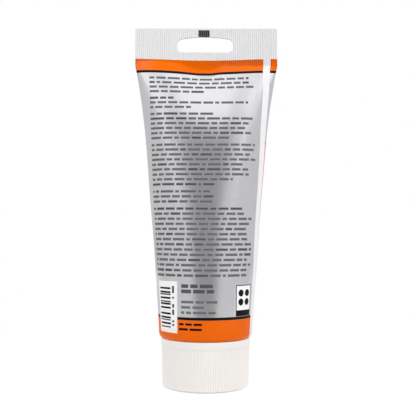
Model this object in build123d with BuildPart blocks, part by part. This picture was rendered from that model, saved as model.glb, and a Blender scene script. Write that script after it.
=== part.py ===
from math import pi
import os

from build123d import *

os.makedirs("parts", exist_ok=True)

# Overall size, in millimetres
total_height = 147.4
sleeve_diameter = 38.0

# Crimped seal at the top
seal_height = 15.8
seal_thickness = 0.7
seal_root = 2.0
seal_rib_count = 68
seal_rib_depth = 0.25

# Hang hole in the seal
hole_width = 23.3
hole_height = 6.2
hole_arch = 1.2
hole_corner = 2.3
hole_drop = 3.6

# How the round sleeve flattens towards the seal
taper_power = 1.12
flare_share = 0.2
flare_power = 7
flatten_power = 0.45
section_steps = (0, 0.1, 0.25, 0.42, 0.58, 0.72, 0.82, 0.9, 0.95, 0.98, 1)

# Lower end of the sleeve, curled over the shoulder
curl_radius = 2.1
curl_lip = 0.5
curl_land = 1.4
curl_wall = 0.6

# Shoulder, neck and foil
shoulder_thickness = 1.4
shoulder_drop = 3.0
shoulder_inset = 0.4
neck_radius = 7.6
neck_bore_radius = 4.5
spout_length = 3.6
spout_radius = 6.4
foil_thickness = 0.2
foil_margin = 0.5

# Screw thread of the neck and the cap
thread_pitch = 3.0
thread_turns = 2
thread_depth = 0.9
thread_clearance = 0.4
thread_runout = 0.4
thread_root_width = 1.7
thread_crest_width = 0.8
thread_sink = 0.3

# Cap
cap_inset = 0.85
cap_rib_inset = 0.25
cap_foot_height = 0.6
cap_foot_bevel = 0.4
cap_wall = 1.5
cap_deck = 1.6
cap_gap = 0.5
cap_rib_count = 120
cap_rib_depth = 0.35
cap_rib_margin = 1.6
socket_wall = 1.5
socket_gap = 1.2
plug_height = 2.5
plug_wall = 1.2
plug_gap = 0.4

# Levels along the axis, from the foot of the cap upwards
plug_top = cap_deck + plug_height
foil_level = plug_top + plug_gap
mouth_level = foil_level + foil_thickness
spout_top = mouth_level + spout_length
thread_start = spout_top + thread_root_width / 2
thread_end = thread_start + thread_pitch * thread_turns
neck_level = thread_end + thread_root_width / 2 + thread_runout
bore_top = neck_level + shoulder_thickness
land_level = neck_level + shoulder_drop
shoulder_top = land_level + shoulder_thickness
sleeve_bottom = land_level - curl_wall
barrel_bottom = sleeve_bottom + curl_radius
seal_bottom = total_height - seal_height
socket_top = neck_level - socket_gap
cap_height = sleeve_bottom - cap_gap
rib_top = cap_height - cap_rib_margin

# Radii and half sizes
sleeve_radius = sleeve_diameter / 2
seal_width = pi * sleeve_radius
seal_half_width = seal_width / 2
seal_half_depth = (seal_thickness + seal_rib_depth) / 2
curl_centre = sleeve_radius - curl_radius
curl_inner = curl_centre - curl_lip
land_radius = curl_inner + curl_land
shoulder_edge = curl_inner - shoulder_inset
foil_radius = spout_radius - foil_margin
socket_radius = neck_radius + thread_depth + thread_clearance
socket_outer = socket_radius + socket_wall
cap_rim_radius = sleeve_radius - cap_inset
cap_crest_radius = cap_rim_radius - cap_rib_inset
cap_root_radius = cap_crest_radius - cap_rib_depth


def half_width(step):
    flare = (1 - flare_share) * step**taper_power + flare_share * step**flare_power
    return sleeve_radius + (seal_half_width - sleeve_radius) * flare


def half_depth(step):
    return seal_half_depth + (sleeve_radius - seal_half_depth) * (1 - step) ** flatten_power


# Sleeve with its fill, one closed solid
with BuildPart() as tube_body:
    # Round barrel that flattens into the seal
    for step in section_steps:
        with BuildSketch(Plane.XY.offset(barrel_bottom + (seal_bottom - barrel_bottom) * step)):
            Ellipse(half_width(step), half_depth(step))
    loft()
    # Curled end, and the fill inside the shoulder and neck
    with BuildSketch(Plane.XZ):
        with BuildLine():
            Polyline(
                (sleeve_radius, barrel_bottom),
                (0, barrel_bottom),
                (0, mouth_level),
                (neck_bore_radius, mouth_level),
                (neck_bore_radius, bore_top),
                (land_radius, shoulder_top),
                (land_radius, land_level),
                (curl_inner, land_level),
                (curl_inner, sleeve_bottom),
                (curl_centre, sleeve_bottom),
            )
            Spline((curl_centre, sleeve_bottom), (sleeve_radius, barrel_bottom), tangents=((1, 0), (0, 1)))
        make_face()
    revolve(axis=Axis.Z)
    # Root of the seal, inside the barrel
    with BuildSketch(Plane.XY.offset(seal_bottom - seal_root)):
        Rectangle(seal_width - 2 * seal_root, seal_thickness)
    extrude(amount=2 * seal_root)
    # Ribbed seal
    with BuildSketch(Plane.XY.offset(seal_bottom)):
        front_edge = []
        back_edge = []
        for index in range(2 * seal_rib_count + 1):
            across = seal_half_width * (index / seal_rib_count - 1)
            wave = seal_rib_depth * (index % 2 - 0.5)
            front_edge.append((across, wave - seal_thickness / 2))
            back_edge.append((across, wave + seal_thickness / 2))
        with BuildLine():
            Polyline(*front_edge, *reversed(back_edge), close=True)
        make_face()
    extrude(amount=seal_height)
    # Hang hole with an arched top
    with BuildSketch(Plane.XZ) as hole_outline:
        with BuildLine():
            hole_top = total_height - hole_drop
            hole_low = hole_top - hole_height
            hole_side = hole_top - hole_arch
            Polyline(
                (-hole_width / 2, hole_side),
                (-hole_width / 2, hole_low),
                (hole_width / 2, hole_low),
                (hole_width / 2, hole_side),
            )
            ThreePointArc((hole_width / 2, hole_side), (0, hole_top), (-hole_width / 2, hole_side))
        make_face()
        fillet(hole_outline.vertices(), hole_corner)
    extrude(amount=2 * seal_half_depth, both=True, mode=Mode.SUBTRACT)

tube_body.part.label = "tube_body"
export_step(tube_body.part, "parts/tube_body.step")

# Moulded shoulder with a threaded neck and a tapered spout
with BuildPart() as shoulder_neck:
    with BuildSketch(Plane.XZ):
        with BuildLine():
            Polyline(
                (land_radius, land_level),
                (land_radius, shoulder_top),
                (neck_bore_radius, bore_top),
                (neck_bore_radius, mouth_level),
                (spout_radius, mouth_level),
                (neck_radius, spout_top),
                (neck_radius, neck_level),
                (shoulder_edge, land_level),
                close=True,
            )
        make_face()
    revolve(axis=Axis.Z)
    # Outer thread
    with BuildLine() as neck_helix:
        Helix(thread_pitch, thread_pitch * thread_turns, neck_radius, center=(0, 0, thread_start))
    neck_start = neck_helix.line @ 0
    with BuildSketch(Plane(neck_start, x_dir=(1, 0, 0), z_dir=neck_helix.line % 0)):
        with BuildLine():
            Polyline(
                (-thread_sink, -thread_root_width / 2),
                (thread_depth, -thread_crest_width / 2),
                (thread_depth, thread_crest_width / 2),
                (-thread_sink, thread_root_width / 2),
                close=True,
            )
        make_face()
    sweep(path=neck_helix.line, is_frenet=True)

shoulder_neck.part.label = "shoulder_neck"
export_step(shoulder_neck.part, "parts/shoulder_neck.step")

# Foil disc over the mouth of the spout
with BuildPart() as foil_seal:
    with BuildSketch(Plane.XY.offset(foil_level)):
        Circle(foil_radius)
    extrude(amount=foil_thickness)

foil_seal.part.label = "foil_seal"
export_step(foil_seal.part, "parts/foil_seal.step")

# Screw cap with a ribbed skirt, a threaded socket and a plug ring
with BuildPart() as cap:
    # Bevelled foot, and the plain rim above the ribs
    with BuildSketch(Plane.XZ):
        with BuildLine():
            Polyline(
                (0, 0),
                (cap_root_radius - cap_foot_bevel, 0),
                (cap_root_radius, cap_foot_height),
                (cap_root_radius, rib_top),
                (cap_rim_radius, rib_top),
                (cap_rim_radius, cap_height),
                (cap_rim_radius - cap_wall, cap_height),
                (cap_root_radius - cap_wall, cap_deck),
                (socket_outer, cap_deck),
                (socket_outer, socket_top),
                (socket_radius, socket_top),
                (socket_radius, cap_deck),
                (foil_radius, cap_deck),
                (foil_radius, plug_top),
                (foil_radius - plug_wall, plug_top),
                (foil_radius - plug_wall, cap_deck),
                (0, cap_deck),
                close=True,
            )
        make_face()
    revolve(axis=Axis.Z)
    # Ribs round the skirt
    with BuildSketch(Plane.XY.offset(cap_foot_height)):
        with BuildLine():
            corners = []
            for index in range(cap_rib_count):
                turn = 360 * index / cap_rib_count
                corners.append(Vector(cap_crest_radius, 0).rotate(Axis.Z, turn))
                corners.append(Vector(cap_root_radius, 0).rotate(Axis.Z, turn + 180 / cap_rib_count))
            Polyline(*corners, close=True)
        make_face()
        Circle(cap_root_radius - cap_wall / 2, mode=Mode.SUBTRACT)
    extrude(amount=rib_top - cap_foot_height)
    # Inner thread, half a pitch below the neck's
    with BuildLine() as cap_helix:
        cap_start = thread_start - thread_pitch / 2
        Helix(thread_pitch, thread_pitch * thread_turns, socket_radius, center=(0, 0, cap_start))
    with BuildSketch(Plane(cap_helix.line @ 0, x_dir=(1, 0, 0), z_dir=cap_helix.line % 0)):
        with BuildLine():
            Polyline(
                (thread_sink, -thread_root_width / 2),
                (-thread_depth, -thread_crest_width / 2),
                (-thread_depth, thread_crest_width / 2),
                (thread_sink, thread_root_width / 2),
                close=True,
            )
        make_face()
    sweep(path=cap_helix.line, is_frenet=True)

cap.part.label = "cap"
export_step(cap.part, "parts/cap.step")
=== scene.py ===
import math

import bmesh
import bpy
import numpy as np
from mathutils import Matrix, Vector, noise


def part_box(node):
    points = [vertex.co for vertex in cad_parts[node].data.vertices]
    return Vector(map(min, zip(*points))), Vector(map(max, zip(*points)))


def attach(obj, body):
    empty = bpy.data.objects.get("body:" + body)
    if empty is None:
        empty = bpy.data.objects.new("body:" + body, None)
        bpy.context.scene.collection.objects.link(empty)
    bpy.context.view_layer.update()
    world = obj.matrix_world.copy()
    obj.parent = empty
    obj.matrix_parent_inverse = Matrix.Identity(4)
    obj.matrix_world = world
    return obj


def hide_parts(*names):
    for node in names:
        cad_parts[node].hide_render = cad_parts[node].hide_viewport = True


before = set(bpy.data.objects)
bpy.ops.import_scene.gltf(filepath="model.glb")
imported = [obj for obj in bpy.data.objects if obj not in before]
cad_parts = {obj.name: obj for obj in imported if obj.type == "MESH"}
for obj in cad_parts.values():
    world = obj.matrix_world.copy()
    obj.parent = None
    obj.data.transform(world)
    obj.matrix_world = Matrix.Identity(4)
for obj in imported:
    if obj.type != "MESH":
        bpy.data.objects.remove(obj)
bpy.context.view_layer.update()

mm = 0.001
tiny = 1e-7  # metres, smaller than anything modelled
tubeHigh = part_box("tube_body")[1]
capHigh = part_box("cap")[1]
print("frame loaded:", ", ".join(sorted(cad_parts)))


# one socket of a node tree, so that shader maths reads as plain Python
class Sock:
    def __init__(self, tree, socket=None):
        self.tree = tree
        self.socket = socket

    def add(self, kind, settings=None, sockets=None, out=0):
        made = self.tree.nodes.new(kind)
        for name, value in (settings or {}).items():
            setattr(made, name, value)
        for name, value in (sockets or {}).items():
            self.feed(made, name, value)
        return Sock(self.tree, made.outputs[out])

    def feed(self, made, name, value):
        if isinstance(value, Sock):
            self.tree.links.new(value.socket, made.inputs[name])
        else:
            made.inputs[name].default_value = value

    def maths(self, operation, first, second=0.0):
        return self.add("ShaderNodeMath", {"operation": operation}, {0: first, 1: second})

    def __add__(self, other):
        return self.maths("ADD", self, other)

    def __radd__(self, other):
        return self.maths("ADD", other, self)

    def __sub__(self, other):
        return self.maths("SUBTRACT", self, other)

    def __rsub__(self, other):
        return self.maths("SUBTRACT", other, self)

    def __mul__(self, other):
        return self.maths("MULTIPLY", self, other)

    def __rmul__(self, other):
        return self.maths("MULTIPLY", other, self)

    def __truediv__(self, other):
        return self.maths("DIVIDE", self, other)

    def __rtruediv__(self, other):
        return self.maths("DIVIDE", other, self)

    def __gt__(self, other):
        return self.maths("GREATER_THAN", self, other)

    def __lt__(self, other):
        return self.maths("LESS_THAN", self, other)

    def __or__(self, other):
        return self.maths("MAXIMUM", self, other)

    def __ror__(self, other):
        return self.maths("MAXIMUM", other, self)

    def __abs__(self):
        return self.maths("ABSOLUTE", self)

    def __floor__(self):
        return self.maths("FLOOR", self)

    # 0 below low, 1 above high
    def rise(self, low, high):
        sockets = {"Value": self, "From Min": low, "From Max": high}
        return self.add("ShaderNodeMapRange", {"interpolation_type": "SMOOTHSTEP"}, sockets)

    # 0 below an edge, 1 above it
    def above(self, edge, soft=0.05):
        return self.rise(edge - soft, edge + soft)

    # 1 between low and high
    def within(self, low, high, soft=0.05):
        return self.above(low, soft) * (1 - self.above(high, soft))

    # one colour laid over another by this mask; 6, 7 and 2 are the Mix node's colour sockets
    def paint(self, under, over):
        return self.add("ShaderNodeMix", {"data_type": "RGBA"}, {0: self, 6: under, 7: over}, out=2)

    # this value in all three channels
    def grey(self):
        return self.add("ShaderNodeCombineXYZ", None, {0: self, 1: self, 2: self})

    def noise(self, scale, detail, distortion=0.0):
        solid = self.add("ShaderNodeTexCoord", out="Object")
        sockets = {"Vector": solid, "Scale": scale, "Detail": detail, "Distortion": distortion}
        return self.add("ShaderNodeTexNoise", None, sockets)

    def bump(self, strength, distance, height):
        sockets = {"Strength": strength, "Distance": distance, "Height": height}
        return self.add("ShaderNodeBump", None, sockets)


# screen values from 0 to 255, turned into linear ones
def colour(red, green, blue):
    linear = []
    for value in (red / 255, green / 255, blue / 255):
        linear.append(value / 12.92 if value < 0.0404 else ((value + 0.055) / 1.055) ** 2.4)
    return (*linear, 1.0)


def newFinish(name):
    material = bpy.data.materials.new(name)
    material.use_nodes = True
    return material, Sock(material.node_tree), material.node_tree.nodes["Principled BSDF"]


def newPiece(name, points, faces, material):
    mesh = bpy.data.meshes.new(name)
    mesh.from_pydata(points, [], faces)
    mesh.materials.append(material)
    piece = bpy.data.objects.new(name, mesh)
    bpy.context.scene.collection.objects.link(piece)
    return piece


def weldPiece(piece, reach, sharpAngle):
    weld = bmesh.new()
    weld.from_mesh(piece.data)
    bmesh.ops.remove_doubles(weld, verts=weld.verts, dist=reach)
    bmesh.ops.dissolve_degenerate(weld, edges=weld.edges, dist=tiny)
    bmesh.ops.recalc_face_normals(weld, faces=weld.faces)
    weld.to_mesh(piece.data)
    weld.free()
    piece.data.shade_smooth()
    piece.data.set_sharp_from_angle(angle=math.radians(sharpAngle))


def smoothShare(value, low, high):
    share = np.clip((value - low) / (high - low), 0, 1)
    return share * share * (3 - 2 * share)


# camera at the photograph's height and distance, angles in degrees
camera = {
    "distance": 264.5 * mm,
    "height": 55.9 * mm,
    "side": 0.9 * mm,
    "pitchUp": 3.45,
    "roll": -0.13,
    "focalPixels": 640,
    "framePixels": 416,
    "sensorWidth": 36,
    "clipStart": 0.01,
}
cameraData = bpy.data.cameras.new("camera")
cameraData.sensor_width = camera["sensorWidth"]
cameraData.lens = camera["sensorWidth"] * camera["focalPixels"] / camera["framePixels"]
cameraData.clip_start = camera["clipStart"]
cameraObject = bpy.data.objects.new("camera", cameraData)
cameraObject.location = (camera["side"], -camera["distance"], camera["height"])
cameraObject.rotation_euler = (math.radians(90 + camera["pitchUp"]), math.radians(camera["roll"]), 0)
bpy.context.scene.collection.objects.link(cameraObject)
bpy.context.scene.camera = cameraObject
print("camera set")


# printed sleeve: round at the foot, flat and ribbed at the seal
sleeve = {
    "radius": tubeHigh.y,
    "top": tubeHigh.z,
    "foot": capHigh.z + 0.83 * mm,
    # curl at the foot, and the lip inside it
    "curlRadius": 2.1 * mm,
    "lip": 0.5 * mm,
    "lipRise": 0.37 * mm,
    "lipRound": 0.15 * mm,
    # how the round barrel widens and flattens
    "taperPower": 1.12,
    "flareShare": 0.2,
    "flarePower": 7,
    "flattenPower": 0.45,
    "easeReach": 0.051,
    "easePower": 1.75,
    # crimped seal
    "sealHalfWidth": tubeHigh.x,
    "sealHeight": 15.8 * mm,
    "sealThickness": 0.7 * mm,
    "ribDepth": 0.17 * mm,
    "ribCount": 68,
    "ribFade": 1.1 * mm,
    # lower edge of the crimp: higher on the left, lower in the middle
    "crimpLift": 2.0 * mm,
    "crimpLiftEnds": (-20 * mm, -5 * mm),
    "crimpLiftFoot": 118 * mm,
    "crimpDip": 2.4 * mm,
    "crimpDipFrom": (-12.5 * mm, -2 * mm),
    "crimpDipTo": (1.5 * mm, 7.5 * mm),
    # hang hole
    "holeWidth": 23.4 * mm,
    "holeHeight": 6.6 * mm,
    "holeArch": 1.2 * mm,
    "holeCorner": 2.1 * mm,
    "holeDrop": 3.6 * mm,
    "holeShift": -0.5 * mm,
    # raised strip of the side seam: its left edge at the foot and at the seal, its right edge
    "seamFoot": 22.2 * mm,
    "seamFrom": 23.95 * mm,
    "seamTo": 26.9 * mm,
    "seamEdge": 0.25 * mm,
    "seamRise": 0.1 * mm,
    "seamFade": 2 * mm,
    # shallow dents, which fade in above the foot and out below the seal over these distances
    "dentDepth": 0.3 * mm,
    "dentSize": 22 * mm,
    "dentStretch": 0.7,
    "dentFoot": (4 * mm, 22 * mm),
    "dentTop": (14 * mm, 3 * mm),
    # soft creases below the seal: place across at the top and at the foot, top, foot, depth, half width
    "creases": (
        (21.5 * mm, 18.5 * mm, 128 * mm, 98 * mm, 0.08 * mm, 2.0 * mm),
        (-20.0 * mm, -18.0 * mm, 127 * mm, 106 * mm, 0.06 * mm, 2.6 * mm),
        (4.0 * mm, 6.5 * mm, 120 * mm, 92 * mm, 0.05 * mm, 3.5 * mm),
        (39.5 * mm, 42.5 * mm, 128 * mm, 92 * mm, 0.30 * mm, 2.4 * mm),
        (-41.0 * mm, -38.5 * mm, 127 * mm, 100 * mm, 0.24 * mm, 2.2 * mm),
    ),
    # mesh
    "columnsPerRib": 6,
    "sectionSteps": 4001,
    "curlRows": 7,
    "barrelRows": 64,
    "barrelCrowding": 1.9,
    "lowSealRows": 5,
    "highSealRows": 3,
    "weldReach": 1e-6,
    "sharpAngle": 50,
    # how far the print sags in the middle of a face, by height, in millimetres
    "sagHeights": (20.9, 45, 74, 100, 112, 124, 127, 131, 134, 147.4),
    "sagDepths": (0, 0.1, 0.5, 0.75, 0.85, 1.45, 1.55, 1.05, 0.75, 0.7),
    "sagWidth": 0.93,
    "printTuck": 2 * mm,  # print that runs on under the curl
    "printScale": 10,  # units of the print map in a metre
}
columnCount = 2 * sleeve["ribCount"] * sleeve["columnsPerRib"]
quarter = math.pi * sleeve["radius"] / 2  # of the girth
barrelFoot = sleeve["foot"] + sleeve["curlRadius"]
sealFoot = sleeve["top"] - sleeve["sealHeight"]
# place of each column round the girth, 0 in the middle of the near face, and folded flat
along = np.linspace(-2 * quarter, 2 * quarter, columnCount + 1)[:columnCount]
folded = np.where(np.abs(along) > quarter, np.sign(along) * (2 * quarter - np.abs(along)), along)
flatX = folded / quarter * sleeve["sealHalfWidth"]
ribTurn = 2 * math.pi * sleeve["ribCount"] * (flatX / (2 * sleeve["sealHalfWidth"]) + 0.5)
ribs = sleeve["ribDepth"] / 2 * np.cos(ribTurn)
lift = sleeve["crimpLift"] * (1 - smoothShare(folded, *sleeve["crimpLiftEnds"]))
dip = smoothShare(folded, *sleeve["crimpDipFrom"]) * (1 - smoothShare(folded, *sleeve["crimpDipTo"]))
lift = lift - sleeve["crimpDip"] * dip


def halfWidth(step):
    taper = (1 - sleeve["flareShare"]) * step ** sleeve["taperPower"]
    flare = taper + sleeve["flareShare"] * step ** sleeve["flarePower"]
    return sleeve["radius"] + (sleeve["sealHalfWidth"] - sleeve["radius"]) * flare


def halfDepth(step):
    sealHalf = (sleeve["sealThickness"] + sleeve["ribDepth"]) / 2
    ease = (1 - step) ** sleeve["easePower"]
    below = (1 - step) * ease / (ease + sleeve["easeReach"] ** sleeve["easePower"])  # gently into the seal
    return sealHalf + (sleeve["radius"] - sealHalf) * below ** sleeve["flattenPower"]


# oval section of the barrel, from 0 at its foot to 1 at the seal, with the columns evenly spaced
def barrelLoop(step):
    wide, deep = halfWidth(step), halfDepth(step)
    turn = np.linspace(-math.pi, math.pi, sleeve["sectionSteps"])
    x, y = wide * np.sin(turn), -deep * np.cos(turn)
    length = np.concatenate([[0], np.cumsum(np.hypot(np.diff(x), np.diff(y)))])
    angle = np.interp(along / (4 * quarter) + 0.5, length / length[-1], turn)
    outward = np.stack([np.sin(angle) / wide, -np.cos(angle) / deep], 1)
    outward /= np.linalg.norm(outward, axis=1)[:, None]
    return wide * np.sin(angle), -deep * np.cos(angle), outward


def seamShare(height):
    lean = smoothShare(height, sleeve["foot"], sealFoot)
    left = sleeve["seamFoot"] + (sleeve["seamFrom"] - sleeve["seamFoot"]) * lean
    right, edge = sleeve["seamTo"], sleeve["seamEdge"]
    return smoothShare(along, left - edge, left) * (1 - smoothShare(along, right, right + edge))


def creaseDepth(height):
    depth = np.zeros(columnCount)
    for topPlace, footPlace, top, foot, deep, half in sleeve["creases"]:
        part = np.clip((height - foot) / (top - foot), 0, 1)
        middle = footPlace + (topPlace - footPlace) * part
        depth += deep * math.sin(math.pi * part) * np.exp(-(((along - middle) / half) ** 2))
    return depth


def dentHeight(x, y, height):
    share = smoothShare(height, *(barrelFoot + reach for reach in sleeve["dentFoot"]))
    share = share * (1 - smoothShare(height, *(sealFoot - reach for reach in sleeve["dentTop"])))
    spots = [Vector((px, py, height * sleeve["dentStretch"])) / sleeve["dentSize"] for px, py in zip(x, y)]
    return share * sleeve["dentDepth"] * np.array([noise.noise(spot) for spot in spots])


def barrelRow(step):
    height = barrelFoot + (sealFoot - barrelFoot) * step
    x, y, outward = barrelLoop(step)
    seam = seamShare(height) * sleeve["seamRise"]
    seam = seam * smoothShare(height, barrelFoot, barrelFoot + sleeve["seamFade"])
    push = seam - creaseDepth(height) + dentHeight(x, y, height)
    raised = height + lift * smoothShare(height, sleeve["crimpLiftFoot"], sealFoot)
    raisedStep = np.clip((np.maximum(raised, height) - barrelFoot) / (sealFoot - barrelFoot), 0, 1)
    x = x * halfWidth(raisedStep) / halfWidth(step)  # as wide as its true height asks
    y = y + ribs * smoothShare(height, sealFoot - sleeve["ribFade"], sealFoot)
    return np.stack([x + outward[:, 0] * push, y + outward[:, 1] * push, raised], 1)


# radius and height of the inside of the lip, then of the curl, from below
def curlProfile():
    centre = sleeve["radius"] - sleeve["curlRadius"]
    lipRadius = centre - sleeve["lip"]
    profile = [
        (lipRadius, sleeve["foot"] + sleeve["lipRise"]),
        (lipRadius, sleeve["foot"] + sleeve["lipRound"]),
        (lipRadius + sleeve["lipRound"], sleeve["foot"]),
    ]
    for turn in np.linspace(math.pi / 2, 0, sleeve["curlRows"])[:-1]:
        reach, drop = sleeve["curlRadius"] * math.cos(turn), sleeve["curlRadius"] * math.sin(turn)
        profile.append((centre + reach, barrelFoot - drop))
    return profile


# lower and upper edge of the hang hole, which meet in its middle height beside it
def holeEdge():
    half, corner = sleeve["holeWidth"] / 2, sleeve["holeCorner"]
    top = sleeve["top"] - sleeve["holeDrop"]
    low = top - sleeve["holeHeight"]
    middle = (low + top - sleeve["holeArch"]) / 2
    reach = np.clip(np.abs(flatX - sleeve["holeShift"]), 0, half)
    arch = top - sleeve["holeArch"] * (reach / half) ** 2
    inCorner = np.clip(reach - (half - corner), 0, corner)
    cut = corner - np.sqrt(np.maximum(corner**2 - inCorner**2, 0))
    lower = np.minimum(low + cut, middle)
    upper = np.maximum(arch - cut, middle)
    outside = reach >= half - tiny
    return np.where(outside, middle, lower), np.where(outside, middle, upper)


# rows of points from the lip to the top of the seal, with their levels on the flat print
def sleeveRows():
    rows, levels = [], []
    x, y = barrelLoop(0.0)[:2]
    profile = curlProfile()
    printFoot = barrelFoot - sleeve["curlRadius"] * math.pi / 2 - sleeve["printTuck"]
    for index, (radius, height) in enumerate(profile):
        scale = radius / sleeve["radius"]
        rows.append(np.stack([x * scale, y * scale, np.full(columnCount, height)], 1))
        levels.append(np.full(columnCount, printFoot + (barrelFoot - printFoot) * index / len(profile)))
    # barrel, with closer rows where it flattens fast
    for part in np.linspace(0, 1, sleeve["barrelRows"] + 1):
        rows.append(barrelRow(1 - (1 - part) ** sleeve["barrelCrowding"]))
    # seal below and above the hang hole
    beyond = np.abs(along) - quarter  # below 0 on the near face, above 0 on the far face
    face = np.where(beyond < -tiny, -1.0, np.where(beyond > tiny, 1.0, 0.0))
    flatY = face * (sleeve["sealThickness"] / 2 + seamShare(sealFoot) * sleeve["seamRise"]) + ribs
    lower, upper = holeEdge()
    for part in np.linspace(0, 1, sleeve["lowSealRows"] + 1)[1:]:
        rows.append(np.stack([flatX, flatY, sealFoot + lift + (lower - sealFoot - lift) * part], 1))
    lastBelow = len(rows) - 1
    for part in np.linspace(0, 1, sleeve["highSealRows"] + 1):
        rows.append(np.stack([flatX, flatY, upper + (sleeve["top"] - upper) * part], 1))
    levels += [row[:, 2] for row in rows[len(levels):]]
    level = np.array(levels)
    sag = np.interp(level / mm, sleeve["sagHeights"], sleeve["sagDepths"]) * mm
    level = level + sag * (1 + np.cos(math.pi * sleeve["sagWidth"] * folded / quarter)) / 2
    return np.array(rows), level, lastBelow, upper - lower > tiny


def buildSleeve(material):
    rows, level, lastBelow, inHole = sleeveRows()
    points = rows.reshape(-1, 3).tolist()
    faces, spots = [], []

    def corner(row, column):
        return row * columnCount + column % columnCount

    # place on the flat print
    def spot(row, column):
        place = -2 * quarter + 4 * quarter * column / columnCount
        return (place * sleeve["printScale"], level[row, column % columnCount] * sleeve["printScale"])

    for row in range(len(rows) - 1):
        if row == lastBelow:
            continue
        for column in range(columnCount):
            ring = ((row, column), (row, column + 1), (row + 1, column + 1), (row + 1, column))
            faces.append([corner(*c) for c in ring])
            spots.append([spot(*c) for c in ring])
    # top edge of the seal, and the walls of the hang hole
    for column in range(columnCount // 4, 3 * columnCount // 4):
        far = 3 * columnCount // 2 - column
        walls = [(len(rows) - 1, 1)]
        if inHole[column] or inHole[(column + 1) % columnCount]:
            walls += [(lastBelow, 1), (lastBelow + 1, -1)]
        for row, way in walls:
            ring = [(row, column), (row, column + 1), (row, far - 1), (row, far)][::way]
            faces.append([corner(*c) for c in ring])
            spots.append([spot(row, column)] * 4)
    # floor inside the lip
    points.append([0, 0, sleeve["foot"] + sleeve["lipRise"]])
    for column in range(columnCount):
        faces.append([corner(0, column + 1), corner(0, column), len(points) - 1])
        spots.append([spot(0, column)] * 3)
    piece = newPiece("printedSleeve", points, faces, material)
    printMap = piece.data.uv_layers.new(name="printMap")
    printMap.data.foreach_set("uv", np.array([place for ring in spots for place in ring]).ravel())
    weldPiece(piece, sleeve["weldReach"], sleeve["sharpAngle"])
    return piece


# flat print of the sleeve, in millimetres: places across from the middle of the near face,
# levels up from the foot of the cap, blocks as left, right, low and high
printing = {
    "white": colour(226, 226, 227),
    # painted shade for the grooves of the crimp
    "grooveShadeGrey": colour(208, 208, 210),
    "seamWhite": colour(234, 233, 236),
    "panelWhite": colour(244, 243, 243),
    "silver": colour(224, 224, 227),
    "silverDark": colour(214, 214, 218),
    "orange": colour(236, 102, 2),
    "bandOrange": colour(249, 112, 2),
    "ribShadeOrange": colour(210, 95, 42),
    "wordGrey": colour(68, 68, 72),
    "boldGrey": colour(20, 19, 20),
    "black": colour(10, 8, 7),
    # fields and lines
    "orangeTop": 134.5,
    "upperLine": (128.4, 129.5),
    "lowerLine": (27.7, 28.8),
    "farFieldTop": 99.4,
    "farLine": 1.0,
    "nearFace": (-28.3, 27.8),
    "seamSpan": (20.0, 131.0),
    "seamSoft": 0.08,
    # crimp: dark mark with painted highlights on its rib crests, painted shade in the grooves that grows to
    # the right, painted shade on the ribs of the orange band
    "eyeMark": (-3.35, 1.42, 144.5, 147.4),
    "eyeCrestHighlight": 0.14,
    "ribsFrom": (131.2, 132.3),
    "grooveShadeFrom": (-14.0, 14.0),
    "grooveShadeLeast": 0.85,
    "grooveShadeMost": 1.25,
    "ribShadeFrom": (0.0, 8.0),
    # clear lacquer on the upper band, thick at the left end and thin at the right
    "lacquerLeft": 0.9,
    "lacquerLeftTo": (-27.0, -19.0),
    "lacquerRight": 0.14,
    "lacquerRightFrom": (0.0, 10.0),
    # rows of dashes, counted from the lowest row of the long text, with the notes below 0
    "rowsFrom": 43.8,
    "rowPitch": 2.03,
    "rowCount": 39,
    "lowestRow": -7,
    "rowLeft": -23.9,
    "rowRight": 15.0,
    "rowSpread": 6.5,
    "noteLeft": -9.8,
    "noteRight": 8.0,
    "noteSpread": 9.0,
    "paragraphStarts": (14, 17, 26, 32, 35),
    "paragraphGap": 0.85,
    "blankRows": (-1, -4),
    "headRows": (-2, -3),
    "boldRows": (34, 17, 13),
    # row and right end
    "shortRows": (
        (35, -1.0), (34, -13.5), (32, -6.2), (31, 2.9), (26, 9.5),
        (18, 11.0), (17, 3.4), (16, 1.8), (15, 3.0), (14, 2.6),
    ),
    # foot, top and soft edge of a dash, as shares of the row, and what a heavy one gains
    "dashFoot": 0.24,
    "dashTop": 0.72,
    "dashSoft": 0.08,
    "headGain": 0.12,
    "dashPitch": 4.6,
    "dashGap": 0.40,  # half of a gap
    "gapSoft": 0.06,
    "gapMargin": 0.19,  # share of the pitch
    "shortDash": 1.3,
    "boldShare": 0.13,
    "dashInk": 0.8,
    "dashInkSpread": 0.16,
    # dashes on the lower band: foot of the row, then the ends of each dash
    "footRows": (
        (25.7, (-10.8, -8.7, -8.0, -5.3, -4.6, -1.4)),
        (23.8, (-10.8, -6.9, -6.2, -1.4)),
    ),
    "footRowHeight": 0.85,
    # panel of plain bars
    "barPanel": (-22.7, -11.6, 22.5, 42.4),
    "bars": (-21.6, -14.9, 24.4, 40.6),
    "barWaves": (3.2, 5.1),
    "barShift": 1.0,
    "barNotes": (-14.1, -13.1, 24.4, 41.0),
    "barNotePitch": 0.7,
    "barNoteGaps": 0.4,
    # framed box with four dots
    "boxPanel": (12.6, 21.2, 28.9, 41.0),
    "boxFoot": 31.2,
    "boxFrame": 0.34,
    "dotsCentre": (16.9, 36.1),
    "dotSpread": 1.75,
    "dotRadius": 1.35,
    # seeds of what is left to chance
    "endSeed": 3.0,
    "noteEndSeed": 5.0,
    "slideSeed": 8.0,
    "boldSeed": 40.0,
    "barNoteSeed": 71.0,
    # finish: bare foil, and what ink changes
    "foilMetal": 0.9,
    "dashMetalLoss": 0.75,
    "inkMetal": 0.12,
    "bandMetal": 0.70,
    "foilRough": 0.14,
    "inkRough": 0.22,
    "cloudRough": 0.05,
    "lacquerRough": 0.2,
    "specular": 0.12,
    "cloudScale": 45.0,
    "cloudDetail": 3.0,
    "grainScale": 1400.0,
    "grainDetail": 2.0,
    "grainStrength": 0.05,
    "grainDepth": 0.04 * mm,
}


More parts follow.
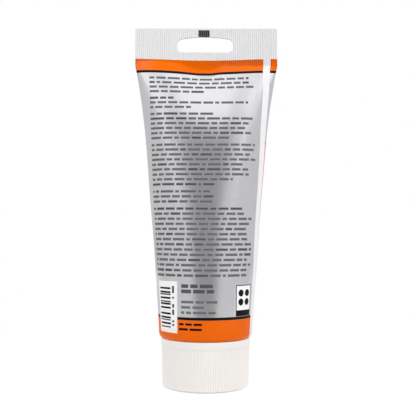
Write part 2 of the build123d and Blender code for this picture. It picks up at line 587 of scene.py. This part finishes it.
def printFinish():
    p = printing
    material, sheet, shader = newFinish("printedLaminate")
    place = sheet.add("ShaderNodeUVMap", {"uv_map": "printMap"})
    toMillimetres = 1 / (sleeve["printScale"] * mm)
    across = sheet.add("ShaderNodeSeparateXYZ", None, {0: place}, out="X") * toMillimetres
    level = sheet.add("ShaderNodeSeparateXYZ", None, {0: place}, out="Y") * toMillimetres
    grain = sheet.noise(p["grainScale"], p["grainDetail"])
    cloud = sheet.noise(p["cloudScale"], p["cloudDetail"])

    def block(left, right, low, high):
        return across.within(left, right) * level.within(low, high)

    def chance(first, second):
        spot = sheet.add("ShaderNodeCombineXYZ", None, {0: first, 1: second})
        return sheet.add("ShaderNodeTexWhiteNoise", {"noise_dimensions": "2D"}, {"Vector": spot})

    # near face, seam strip and white crimp
    near = across.within(*p["nearFace"])
    seamFoot, seamFrom, seamTo = (sleeve[name] / mm for name in ("seamFoot", "seamFrom", "seamTo"))
    seamLeft = across - (seamFoot + (seamFrom - seamFoot) * level.rise(*p["seamSpan"]))
    whiteMask = level.above(p["orangeTop"])
    seam = seamLeft.above(0.0, p["seamSoft"]) * (1 - across.above(seamTo, p["seamSoft"])) * (1 - whiteMask)
    # fields
    upperBand = level.within(p["upperLine"][1], p["orangeTop"])
    lowerBand = (1 - level.above(p["lowerLine"][0])) * near
    farBand = (1 - level.above(p["farFieldTop"])) * (1 - near)
    orangeMask = (upperBand | lowerBand | farBand) * (1 - seam)
    farLine = level.within(p["farFieldTop"] - p["farLine"], p["farFieldTop"]) * (1 - near)
    blackMask = level.within(*p["upperLine"]) | (level.within(*p["lowerLine"]) * near)
    blackMask = (blackMask | farLine) * (1 - seam)
    # painted shade in the grooves of the crimp, growing to the right, painted highlights on the rib crests
    # of the dark mark, and painted shade on the ribs of the orange band on the right
    faceHalf = sleeve["sealHalfWidth"] / mm
    ribPitch = 2 * faceHalf / sleeve["ribCount"]
    facing = 1 - 2 * (abs(across) > faceHalf)
    groove = 0.5 + 0.5 * facing * sheet.maths("COSINE", across * (2 * math.pi / ribPitch))
    # painted highlight: the dark mark is lighter on the rib crests
    eye = block(*p["eyeMark"]) * (1 - p["eyeCrestHighlight"] * (1 - groove))
    onRibs = level.rise(*p["ribsFrom"])
    grooveShadeStrength = p["grooveShadeLeast"] + (p["grooveShadeMost"] - p["grooveShadeLeast"]) * across.rise(*p["grooveShadeFrom"])
    # painted shade: the white of the crimp turns greyer in its grooves, more so to the right
    crimpWhiteGrooveShade = (groove * grooveShadeStrength).paint(p["white"], p["grooveShadeGrey"])
    # painted shade: a darker, greyer orange in the rib grooves on the right of the band
    ribShadeOnOrange = groove * onRibs * across.rise(*p["ribShadeFrom"]) * upperBand * near * (1 - seam)

    # rows of plain dashes in paragraphs, with a little more room between these
    rowLevel = level - p["rowsFrom"]
    between = 0.0
    for index, first in enumerate(p["paragraphStarts"]):
        gapFoot = p["rowsFrom"] + first * p["rowPitch"] + index * p["paragraphGap"]
        past = level > gapFoot + p["paragraphGap"]
        between = between + (level > gapFoot) - past
        rowLevel = rowLevel - p["paragraphGap"] * past
    rowPlace = rowLevel / p["rowPitch"]
    row = math.floor(rowPlace)
    isNote = rowPlace < 0.0

    def isRow(number):
        return abs(row - number) < 0.5

    heading = 0.0
    for headRow in p["headRows"]:
        heading = heading | isRow(headRow)
    gain = p["headGain"] * heading
    inRow = (rowPlace - row).within(p["dashFoot"] - gain, p["dashTop"] + gain, p["dashSoft"])
    inRow = inRow * (1 - between) * (rowPlace < p["rowCount"]) * (rowPlace > p["lowestRow"])
    for blankRow in p["blankRows"]:
        inRow = inRow * (1 - isRow(blankRow))
    rowStart = p["rowLeft"] + (p["noteLeft"] - p["rowLeft"]) * isNote
    rowEnd = p["rowRight"] + p["rowSpread"] * chance(row, p["endSeed"])
    for shortRow, end in p["shortRows"]:
        rowEnd = rowEnd + (end - rowEnd) * isRow(shortRow)
    noteEnd = p["noteRight"] - p["noteSpread"] * chance(row, p["noteEndSeed"])
    rowEnd = rowEnd + (noteEnd - rowEnd) * isNote
    # one gap at a chance place in each stretch of the row, none near the row's ends
    slide = p["dashPitch"] * chance(row, p["slideSeed"])
    stretch = math.floor((across + slide) / p["dashPitch"])
    gapShare = p["gapMargin"] + (1 - 2 * p["gapMargin"]) * chance(stretch, row)
    gapPlace = p["dashPitch"] * (stretch + gapShare) - slide
    gap = 1 - abs(across - gapPlace).above(p["dashGap"], p["gapSoft"])
    early = gapPlace < rowStart + p["shortDash"]
    late = gapPlace > rowEnd - p["shortDash"]
    dashes = inRow * (1 - gap * (1 - early) * (1 - late)) * across.within(rowStart, rowEnd)
    # heads, some rows and a few dashes are nearly black, each dash over its whole length
    dash = stretch - ((across < gapPlace) * (1 - early) | late)
    bold = (chance(dash, row + p["boldSeed"]) < p["boldShare"]) | heading
    for boldRow in p["boldRows"]:
        bold = bold | isRow(boldRow)
    footDashes = 0.0
    for foot, ends in p["footRows"]:
        for start, end in zip(ends[::2], ends[1::2]):
            footDashes = footDashes | block(start, end, foot, foot + p["footRowHeight"])

    # panel of plain bars, with a column of short marks beside them
    barPanel = block(*p["barPanel"])
    wave, secondWave = p["barWaves"]
    waves = sheet.maths("SINE", level * wave) + sheet.maths("SINE", level * secondWave + p["barShift"])
    bars = block(*p["bars"]) * (waves > 0.0)
    barNote = math.floor(level / p["barNotePitch"])
    barNotes = block(*p["barNotes"]) * (chance(barNote, p["barNoteSeed"]) > p["barNoteGaps"])
    # framed box with four dots in it
    left, right, low, high = p["boxPanel"]
    box = block(left, right, low, high)
    boxInside = block(left + p["boxFrame"], right - p["boxFrame"], p["boxFoot"], high - p["boxFrame"])
    dotX = abs(across - p["dotsCentre"][0]) - p["dotSpread"]
    dotZ = abs(level - p["dotsCentre"][1]) - p["dotSpread"]
    dots = 1 - sheet.maths("SQRT", dotX * dotX + dotZ * dotZ).above(p["dotRadius"])

    # colour, from the bottom layer up
    tint = cloud.paint(p["silverDark"], p["silver"])
    tint = orangeMask.paint(tint, p["orange"])
    tint = (orangeMask * upperBand).paint(tint, p["bandOrange"])
    # painted shade on the ribs of the orange band
    tint = ribShadeOnOrange.paint(tint, p["ribShadeOrange"])
    tint = blackMask.paint(tint, p["black"])
    dashInk = dashes * (p["dashInk"] + p["dashInkSpread"] * cloud)
    tint = dashInk.paint(tint, bold.paint(p["wordGrey"], p["boldGrey"]))
    tint = footDashes.paint(tint, p["black"])
    # white crimp, with painted shade in its grooves
    tint = whiteMask.paint(tint, crimpWhiteGrooveShade)
    tint = seam.paint(tint, onRibs.paint(p["seamWhite"], crimpWhiteGrooveShade))
    tint = eye.paint(tint, p["black"])
    tint = barPanel.paint(tint, p["panelWhite"])
    tint = bars.paint(tint, p["black"])
    tint = barNotes.paint(tint, p["wordGrey"])
    tint = box.paint(tint, p["black"])
    tint = (boxInside * (1 - dots)).paint(tint, p["panelWhite"])
    sheet.feed(shader, "Base Color", tint)
    # metal, gloss and lacquer
    inked = orangeMask | blackMask | whiteMask | seam | barPanel | box
    metal = (1 - inked) * (p["foilMetal"] - p["dashMetalLoss"] * dashes)
    metal = metal + orangeMask * (p["inkMetal"] + p["bandMetal"] * upperBand)
    sheet.feed(shader, "Metallic", metal)
    sheet.feed(shader, "Roughness", p["foilRough"] + p["inkRough"] * inked + p["cloudRough"] * cloud)
    lacquer = p["lacquerLeft"] * (1 - across.rise(*p["lacquerLeftTo"]))
    lacquer = lacquer + p["lacquerRight"] * across.rise(*p["lacquerRightFrom"])
    sheet.feed(shader, "Coat Weight", orangeMask * upperBand * lacquer)
    shader.inputs["Coat Roughness"].default_value = p["lacquerRough"]
    shader.inputs["Specular IOR Level"].default_value = p["specular"]
    sheet.feed(shader, "Normal", sheet.bump(p["grainStrength"], p["grainDepth"], grain))
    return material


sleevePiece = buildSleeve(printFinish())
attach(sleevePiece, "tube")
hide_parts("tube_body")
print("printed sleeve built:", len(sleevePiece.data.polygons), "faces")


# moulded plastic: a soft cloud in the colour and the gloss, and a fine grain
def plasticFinish(name, look):
    material, plastic, shader = newFinish(name)
    cloud = plastic.noise(look["cloudScale"], look["cloudDetail"])
    grain = plastic.noise(look["grainScale"], look["grainDetail"])
    plastic.feed(shader, "Base Color", cloud.paint(look["dark"], look["light"]))
    plastic.feed(shader, "Roughness", look["rough"] + look["roughSpread"] * cloud)
    plastic.feed(shader, "Normal", plastic.bump(look["grainStrength"], look["grainDepth"], grain))
    return material


# screw cap: ribbed skirt with a little draft, plain rim, socket and plug inside
cap = {
    "height": capHigh.z + 0.75 * mm,
    "footRadius": 17.55 * mm,
    "topRadius": 17.98 * mm,
    "footRound": 0.75 * mm,
    "footRing": 0.6,
    "rimRadius": capHigh.x,
    "rimRound": 0.3 * mm,
    "rimLip": 0.22 * mm,
    "rimSeat": 17.2 * mm,
    "rimSeatRise": 0.02 * mm,
    # ribs of the skirt
    "ribCount": 120,
    "ribDepth": 0.12 * mm,
    "ribTop": 15.7 * mm,
    "ribFoot": 0.9 * mm,
    "ribFade": 1.3 * mm,
    # inside
    "wall": 1.5 * mm,
    "deck": 1.6 * mm,
    "skirtFoot": 16.1 * mm,
    "skirtBevel": 0.4 * mm,
    "edgeBevel": 0.2 * mm,
    "socketOuter": 10.4 * mm,
    "socketInner": 8.9 * mm,
    "socketTop": 15.2 * mm,
    "plugOuter": 5.9 * mm,
    "plugInner": 4.7 * mm,
    "plugTop": 4.1 * mm,
    "threadPitch": 3.0 * mm,
    "threadTurns": 2,
    "threadStart": 7.65 * mm,
    "threadDepth": 0.9 * mm,
    "threadRoot": 1.7 * mm,
    "threadCrest": 0.8 * mm,
    "threadSink": 0.3 * mm,
    # mesh
    "columnsPerRib": 8,
    "footRows": 7,
    "ribRows": 15,
    "fadeRows": 5,
    "rimRows": 5,
    "threadSteps": 96,
    "centreRadius": 0.001 * mm,
    "weldReach": 3e-6,
    "sharpAngle": 55,
    "finish": {
        "dark": colour(237, 233, 229),
        "light": colour(243, 240, 237),
        "cloudScale": 60.0,
        "cloudDetail": 4.0,
        "grainScale": 2200.0,
        "grainDetail": 2.0,
        "grainStrength": 0.15,
        "grainDepth": 0.04 * mm,
        "rough": 0.40,
        "roughSpread": 0.10,
    },
}


def skirtRadius(height):
    return cap["footRadius"] + (cap["topRadius"] - cap["footRadius"]) * height / cap["ribTop"]


# radius, height and share of the ribs, from the middle of the foot up the skirt to the rim
def capOutside():
    profile = [(cap["centreRadius"], 0.0, 0.0), (cap["footRadius"] * cap["footRing"], 0.0, 0.0)]
    for turn in np.linspace(math.pi / 2, 0, cap["footRows"]):
        height = cap["footRound"] * (1 - math.sin(turn))
        profile.append((skirtRadius(height) - cap["footRound"] * (1 - math.cos(turn)), height, 0.0))
    for height in np.linspace(cap["ribFoot"], cap["ribTop"], cap["ribRows"]):
        profile.append((skirtRadius(height), height, 1.0))
    rimFoot = cap["ribTop"] + cap["ribFade"]
    for height in np.linspace(cap["ribTop"], rimFoot, cap["fadeRows"])[1:]:
        ease = float(smoothShare(height, cap["ribTop"], rimFoot))
        radius = cap["topRadius"] + (cap["rimRadius"] - cap["topRadius"]) * ease
        profile.append((radius, height, 1 - ease))
    for turn in np.linspace(0, math.pi / 2, cap["rimRows"]):
        height = cap["height"] + cap["rimLip"] - cap["rimRound"] * (1 - math.sin(turn))
        profile.append((cap["rimRadius"] - cap["rimRound"] * (1 - math.cos(turn)), height, 0.0))
    return profile


# radius, height and no ribs, from the rim down the inside to the middle of the deck
def capInside():
    top, deck, bevel = cap["height"], cap["deck"], cap["edgeBevel"]
    wallRadius = cap["rimRadius"] - cap["wall"]
    outer, inner, socketTop = cap["socketOuter"], cap["socketInner"], cap["socketTop"]
    profile = (
        (cap["rimSeat"], top + cap["rimSeatRise"]),
        (wallRadius + bevel, top),
        (wallRadius, top - bevel),
        (cap["skirtFoot"], deck + cap["skirtBevel"]),
        (cap["skirtFoot"] - cap["skirtBevel"], deck),
        (outer, deck),
        (outer, socketTop - bevel),
        (outer - bevel, socketTop),
        (inner + bevel, socketTop),
        (inner, socketTop - bevel),
        (inner, deck),
        (cap["plugOuter"], deck),
        (cap["plugOuter"], cap["plugTop"]),
        (cap["plugInner"], cap["plugTop"]),
        (cap["plugInner"], deck),
        (cap["centreRadius"], deck),
    )
    return [(radius, height, 0.0) for radius, height in profile]


def addThread(points, faces):
    start = len(points)
    steps = cap["threadSteps"] * cap["threadTurns"]
    section = (
        (cap["threadSink"], -cap["threadRoot"] / 2),
        (-cap["threadDepth"], -cap["threadCrest"] / 2),
        (-cap["threadDepth"], cap["threadCrest"] / 2),
        (cap["threadSink"], cap["threadRoot"] / 2),
    )
    sides = len(section)
    for step in range(steps + 1):
        turns = cap["threadTurns"] * step / steps
        angle = 2 * math.pi * turns
        middle = cap["threadStart"] + cap["threadPitch"] * turns
        for offset, rise in section:
            reach = cap["socketInner"] + offset
            points.append((reach * math.cos(angle), reach * math.sin(angle), middle + rise))
    for step in range(steps):
        base = start + sides * step
        for side in range(sides):
            after = (side + 1) % sides
            faces.append((base + side, base + side + sides, base + after + sides, base + after))
    last = start + sides * steps
    faces += [tuple(range(start, start + sides)), tuple(range(last, last + sides))]


def buildCap(material):
    count = cap["ribCount"] * cap["columnsPerRib"]
    turn = np.linspace(0, 2 * math.pi, count, endpoint=False)
    flute = 0.5 + 0.5 * np.cos(cap["ribCount"] * turn)
    profile = capOutside() + capInside()
    points, faces = [], []
    for radius, height, ribbed in profile:
        reach = radius - ribbed * cap["ribDepth"] * flute
        points += np.stack([reach * np.cos(turn), reach * np.sin(turn), np.full(count, height)], 1).tolist()
    for row in range(len(profile) - 1):
        low, high = row * count, (row + 1) * count
        for column in range(count):
            after = (column + 1) % count
            faces.append((low + column, low + after, high + after, high + column))
    addThread(points, faces)
    piece = newPiece("ribbedCap", points, faces, material)
    weldPiece(piece, cap["weldReach"], cap["sharpAngle"])
    return piece


capPiece = buildCap(plasticFinish("capPlastic", cap["finish"]))
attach(capPiece, "cap")
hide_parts("cap")
print("cap built:", len(capPiece.data.polygons), "faces")


# moulded shoulder and neck, and the foil over its mouth
neck = {
    "dark": colour(226, 225, 222),
    "light": colour(236, 235, 232),
    "cloudScale": 90.0,
    "cloudDetail": 3.0,
    "grainScale": 1800.0,
    "grainDetail": 2.0,
    "grainStrength": 0.12,
    "grainDepth": 0.04 * mm,
    "rough": 0.36,
    "roughSpread": 0.12,
}
foil = {
    "dark": colour(186, 187, 190),
    "light": colour(222, 223, 226),
    "creaseScale": 420.0,
    "creaseDetail": 5.0,
    "creaseDistortion": 0.8,
    "creaseStrength": 0.35,
    "creaseDepth": 0.1 * mm,
    "rough": 0.22,
    "roughSpread": 0.22,
}


def foilFinish():
    material, metal, shader = newFinish("mouthFoil")
    crease = metal.noise(foil["creaseScale"], foil["creaseDetail"], foil["creaseDistortion"])
    metal.feed(shader, "Base Color", crease.paint(foil["dark"], foil["light"]))
    metal.feed(shader, "Roughness", foil["rough"] + foil["roughSpread"] * crease)
    metal.feed(shader, "Normal", metal.bump(foil["creaseStrength"], foil["creaseDepth"], crease))
    shader.inputs["Metallic"].default_value = 1.0
    return material


neckFinish = plasticFinish("neckPlastic", neck)
for nodeName, material in (("shoulder_neck", neckFinish), ("foil_seal", foilFinish())):
    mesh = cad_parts[nodeName].data
    mesh.materials.clear()
    mesh.materials.append(material)
print("neck and foil finished")


# floor, world and lamps, in metres, watts and degrees
studio = {
    "floorSize": 3.0,
    "shadowReach": (0.04, 0.22),
    # floor as the camera sees it: own colour, which takes the shadow, and a glow up to white
    "floorOwn": 0.35,
    "floorLift": 0.72,
    # floor as a source of bounced light, darker near the object as a painted contact shadow, and as
    # polished faces see it
    "floorBounce": 0.53,
    "floorNearShade": 0.86,
    "floorGloss": 0.18,
    "floorGlossNear": 1.0,
    "glossReach": (0.035, 0.09),
    "ambient": 0.66,
    # what polished faces see: white sides, a dimmer room behind the camera, a softbox above it
    "mirrorSide": 0.685,
    "mirrorFront": 0.29,
    "mirrorTop": 1.2,
    "frontEdge": (8, 33),
    "backEdge": (-0.3, 0.0),  # share of the direction
    "backShare": 0.6,
    "topEdge": (29.4, 32.2),
    "topBehind": (0.0, 0.4),  # share of the direction
    "topDroop": 0.2,
    "gapAhead": (19, 32),
    "gapSoft": 0.03,
    "gapShare": 0.35,
    "stripAhead": (38, 48),
    "stripSoft": 0.07,
    "stripRise": (6, 46),
    "stripGain": 0.62,
    # name, place, size, watts
    "lamps": (
        ("leftSoftbox", (-0.55, -0.40, 0.12), (0.6, 0.6), 2.45),
        ("rightSoftbox", (0.55, -0.40, 0.12), (0.6, 0.6), 3.0),
        ("topSoftbox", (0.0, -0.40, 0.50), (0.7, 0.3), 0.5),
        ("backLeftFill", (-0.45, 0.50, 0.16), (0.6, 0.6), 1.5),
        ("backRightFill", (0.45, 0.50, 0.16), (0.6, 0.6), 1.5),
    ),
    "lampTarget": (0, 0, 0.075),
}


def buildFloor():
    material, ground, shader = newFinish("paleFloor")
    seen = ground.add("ShaderNodeLightPath", out="Is Camera Ray")
    glossy = ground.add("ShaderNodeLightPath", out="Is Glossy Ray")
    spot = ground.add("ShaderNodeTexCoord", out="Object")
    span = ground.add("ShaderNodeVectorMath", {"operation": "LENGTH"}, {0: spot}, out="Value")
    far = span.rise(*studio["shadowReach"])
    own = studio["floorOwn"] * (1 - far)
    # painted contact shadow: near the object the floor bounces less light
    bounce = studio["floorBounce"] * (studio["floorNearShade"] + (1 - studio["floorNearShade"]) * far)
    own = bounce + (own - bounce) * seen
    ground.feed(shader, "Base Color", own.grey())
    glow = studio["floorLift"] + (1 - studio["floorLift"]) * far
    gloss = (studio["floorGloss"] - studio["floorGlossNear"]) * span.rise(*studio["glossReach"])
    mirrored = glossy * (studio["floorGlossNear"] + gloss)
    glow = mirrored + (glow - mirrored) * seen
    ground.feed(shader, "Emission Color", glow.grey())
    shader.inputs["Emission Strength"].default_value = 1.0
    shader.inputs["Roughness"].default_value = 1.0
    shader.inputs["Specular IOR Level"].default_value = 0.0
    half = studio["floorSize"] / 2
    corners = [(-half, -half, 0), (half, -half, 0), (half, half, 0), (-half, half, 0)]
    floor = newPiece("floor", corners, [(0, 1, 2, 3)], material)


def sines(edges):
    return [math.sin(math.radians(edge)) for edge in edges]


def buildWorld():
    world = bpy.data.worlds.new("studio")
    world.use_nodes = True
    bpy.context.scene.world = world
    sky = Sock(world.node_tree)
    seen = sky.add("ShaderNodeLightPath", out="Is Camera Ray")
    glossy = sky.add("ShaderNodeLightPath", out="Is Glossy Ray")
    through = sky.add("ShaderNodeLightPath", out="Is Transmission Ray")
    direction = sky.add("ShaderNodeTexCoord", out="Generated")
    toX, toY, toZ = (sky.add("ShaderNodeSeparateXYZ", None, {0: direction}, out=axis) for axis in "XYZ")
    aside = toX * toX / (toX * toX + toY * toY)  # squared sine of the angle off the camera's line
    frontEdge, gapAhead, stripAhead = (
        [sine**2 for sine in sines(studio[name])] for name in ("frontEdge", "gapAhead", "stripAhead")
    )
    # softbox above, lower at the sides, none behind, dimmer in a gap to left and right
    above = (toZ + studio["topDroop"] * toX * toX).rise(*sines(studio["topEdge"]))
    above = above * (1 - toY.rise(*studio["topBehind"]))
    above = above * (1 - studio["gapShare"] * aside.within(*gapAhead, studio["gapSoft"]))
    ahead = (1 - studio["backShare"] * toY.rise(*studio["backEdge"])) * (1 - aside.rise(*frontEdge))
    ahead = ahead * (1 - above)
    strip = studio["stripGain"] * aside.within(*stripAhead, studio["stripSoft"])
    strip = strip * toZ.rise(*sines(studio["stripRise"]))
    mirror = studio["mirrorSide"] + (studio["mirrorFront"] - studio["mirrorSide"]) * ahead
    mirror = mirror + (studio["mirrorTop"] - studio["mirrorSide"]) * above + strip * (1 - above)
    level = studio["ambient"] + (1 - studio["ambient"]) * (seen | through)
    level = level + (mirror - level) * glossy
    sky.feed(world.node_tree.nodes["Background"], "Color", level.grey())


def buildLamps():
    target = Vector(studio["lampTarget"])
    for name, place, size, watts in studio["lamps"]:
        lamp = bpy.data.lights.new(name, "AREA")
        lamp.shape = "RECTANGLE"
        lamp.size, lamp.size_y = size
        lamp.energy = watts
        lampObject = bpy.data.objects.new(name, lamp)
        lampObject.location = place
        lampObject.rotation_euler = (target - Vector(place)).to_track_quat("-Z", "Y").to_euler()
        lampObject.visible_glossy = False
        bpy.context.scene.collection.objects.link(lampObject)


buildFloor()
buildWorld()
buildLamps()
bpy.context.scene.view_settings.view_transform = "Standard"
print("studio set")
